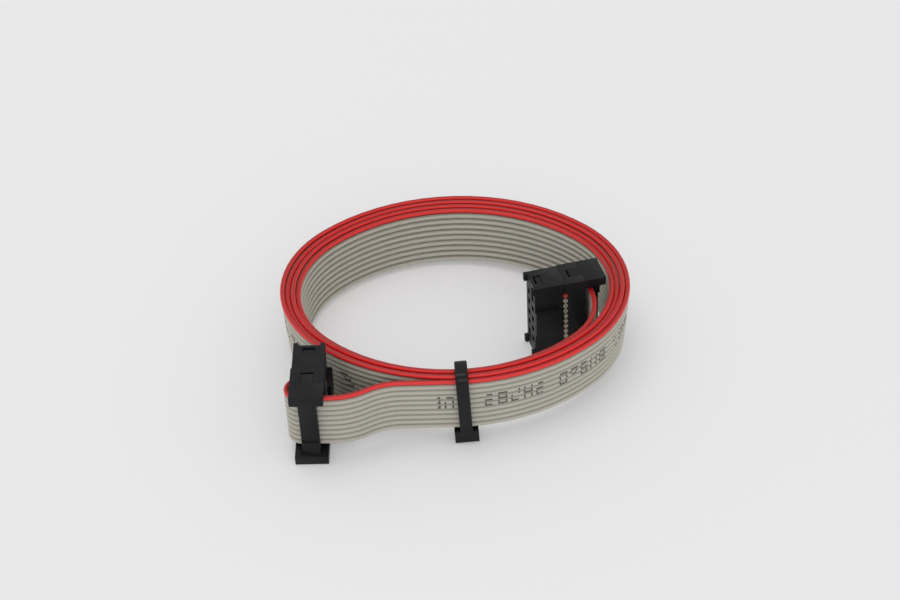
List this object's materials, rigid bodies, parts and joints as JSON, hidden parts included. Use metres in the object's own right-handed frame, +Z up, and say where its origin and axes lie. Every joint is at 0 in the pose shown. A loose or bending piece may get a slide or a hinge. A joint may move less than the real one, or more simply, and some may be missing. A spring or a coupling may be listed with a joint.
{
  "type": "ribbon cable",
  "caption": "Flat multi-wire ribbon cable with a keyed pin socket on each end, wound edgewise into a loop and held by a cable tie.",
  "frame": {"origin": "on the surface that the coiled cable rests on, under the middle of its box", "axes": "+Z up, across the ribbon's width; +X to the right along the front of the loop, where the cable tie is; +Y towards the rear of the loop"},
  "size_m": [0.069, 0.0646, 0.0182],
  "materials": {
    "grey_pvc": "satin",
    "red_pvc": "satin",
    "copper": "bright drawn wire",
    "socket_plastic": "fine moulded grain",
    "contact_metal": "plated",
    "tie_nylon": "satin"
  },
  "bodies": {
    "root": {"wire_01": "red_pvc", "wire_02": "grey_pvc", "wire_03": "grey_pvc", "wire_04": "grey_pvc", "wire_05": "grey_pvc", "wire_06": "grey_pvc", "wire_07": "grey_pvc", "wire_08": "grey_pvc", "wire_09": "grey_pvc", "wire_10": "grey_pvc", "conductor_01": "copper", "conductor_02": "copper", "conductor_03": "copper", "conductor_04": "copper", "conductor_05": "copper", "conductor_06": "copper", "conductor_07": "copper", "conductor_08": "copper", "conductor_09": "copper", "conductor_10": "copper", "socket_a_housing": "socket_plastic", "socket_a_cover": "socket_plastic", "socket_a_relief": "socket_plastic", "socket_a_contact_01": "contact_metal", "socket_a_contact_02": "contact_metal", "socket_a_contact_03": "contact_metal", "socket_a_contact_04": "contact_metal", "socket_a_contact_05": "contact_metal", "socket_a_contact_06": "contact_metal", "socket_a_contact_07": "contact_metal", "socket_a_contact_08": "contact_metal", "socket_a_contact_09": "contact_metal", "socket_a_contact_10": "contact_metal", "socket_b_housing": "socket_plastic", "socket_b_cover": "socket_plastic", "socket_b_relief": "socket_plastic", "socket_b_contact_01": "contact_metal", "socket_b_contact_02": "contact_metal", "socket_b_contact_03": "contact_metal", "socket_b_contact_04": "contact_metal", "socket_b_contact_05": "contact_metal", "socket_b_contact_06": "contact_metal", "socket_b_contact_07": "contact_metal", "socket_b_contact_08": "contact_metal", "socket_b_contact_09": "contact_metal", "socket_b_contact_10": "contact_metal", "cable_tie": "tie_nylon"}
  },
  "joints": []
}
